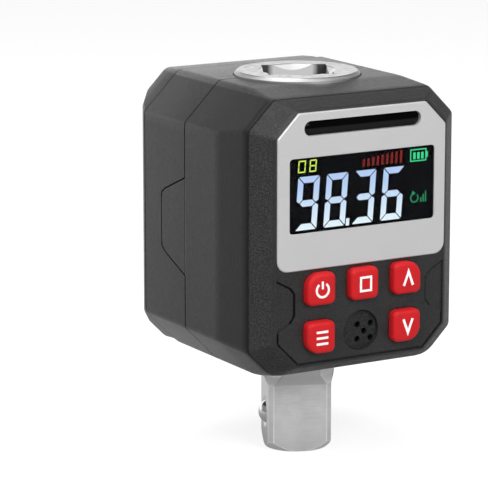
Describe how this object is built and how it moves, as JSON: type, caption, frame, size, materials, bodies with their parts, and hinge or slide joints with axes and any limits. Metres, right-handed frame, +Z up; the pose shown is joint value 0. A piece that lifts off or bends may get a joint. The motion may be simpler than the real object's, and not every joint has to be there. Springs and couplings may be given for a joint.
{
  "type": "digital torque adapter",
  "caption": "Digital torque adapter: a square drive shaft that turns in a battery powered housing with a display, an indicator slot and push keys.",
  "frame": {"origin": "middle of the tip of the male square drive", "axes": "+Z up the shaft towards the female socket, -Y out of the display panel, +X to the right of someone who reads the display"},
  "size_m": [0.0494, 0.0496, 0.076],
  "materials": {
    "housing_plastic": "fine moulded texture",
    "door_plastic": "fine moulded texture",
    "bezel_silver": "satin silver",
    "black_gloss": "polished",
    "display_glass": "polished",
    "display_black": "polished",
    "key_red": "soft matte",
    "sheet_grey": "soft matte",
    "dome_metal": "plated",
    "board_green": "solder mask",
    "chip_black": "moulded",
    "led_white": "moulded",
    "screw_steel": "zinc plated",
    "satin_steel": "satin chrome plated",
    "spring_steel": "oiled",
    "bush_white": "smooth",
    "seal_black": "moulded",
    "gauge_foil": "etched foil",
    "lead_black": "extruded",
    "ball_chrome": "polished",
    "cell_sleeve": "printed sleeve",
    "contact_plate": "nickel plated"
  },
  "bodies": {
    "shaft": {"drive_shaft": "satin_steel", "stop_pin": "screw_steel", "retaining_ring": "spring_steel", "strain_gauges": "gauge_foil", "detent_spring": "spring_steel"},
    "housing": {"front_cover": "housing_plastic", "rear_cover": "housing_plastic", "bezel_plate": "bezel_silver", "indicator_lens": "black_gloss", "display_lens": "display_glass", "display_module": "display_black", "keypad_sheet": "sheet_grey", "contact_domes": "dome_metal", "circuit_board": "board_green", "board_parts": "chip_black", "indicator_leds": "led_white", "buzzer": "chip_black", "board_screws": "screw_steel", "housing_screws": "screw_steel", "upper_bush": "bush_white", "lower_bush": "bush_white", "upper_seal": "seal_black", "lower_seal": "seal_black", "gauge_lead": "lead_black", "cell_left": "cell_sleeve", "cell_right": "cell_sleeve", "battery_springs": "contact_plate", "battery_contacts": "contact_plate"},
    "ball": {"detent_ball": "ball_chrome"},
    "door": {"battery_door": "door_plastic"},
    "key_top_left": {"key_top_left": "key_red"},
    "key_top_centre": {"key_top_centre": "key_red"},
    "key_top_right": {"key_top_right": "key_red"},
    "key_bottom_left": {"key_bottom_left": "key_red"},
    "key_bottom_right": {"key_bottom_right": "key_red"}
  },
  "joints": [
    {"name": "housing_swivel", "type": "hinge", "parent": "shaft", "child": "housing", "pos_m": [0, 0, 0.0468], "axis": [0, 0, 1], "range_deg": [-173, 126]},
    {"name": "detent_press", "type": "slide", "parent": "shaft", "child": "ball", "axis": [0.9164, -0.4004, 0], "range_m": [0, 0.0012], "stiffness_N_per_m": 800, "springref_m": -0.001, "deforming": ["detent_spring"]},
    {"name": "press_top_left", "type": "slide", "parent": "housing", "child": "key_top_left", "axis": [0, 1, 0], "range_m": [0, 0.0008], "stiffness_N_per_m": 800, "springref_m": -0.0005},
    {"name": "press_top_centre", "type": "slide", "parent": "housing", "child": "key_top_centre", "axis": [0, 1, 0], "range_m": [0, 0.0008], "stiffness_N_per_m": 800, "springref_m": -0.0005},
    {"name": "press_top_right", "type": "slide", "parent": "housing", "child": "key_top_right", "axis": [0, 1, 0], "range_m": [0, 0.0008], "stiffness_N_per_m": 800, "springref_m": -0.0005},
    {"name": "press_bottom_left", "type": "slide", "parent": "housing", "child": "key_bottom_left", "axis": [0, 1, 0], "range_m": [0, 0.0008], "stiffness_N_per_m": 800, "springref_m": -0.0005},
    {"name": "press_bottom_right", "type": "slide", "parent": "housing", "child": "key_bottom_right", "axis": [0, 1, 0], "range_m": [0, 0.0008], "stiffness_N_per_m": 800, "springref_m": -0.0005},
    {"name": "door_lift", "type": "slide", "parent": "housing", "child": "door", "axis": [0, 1, 0], "range_m": [0, 0.03]}
  ]
}
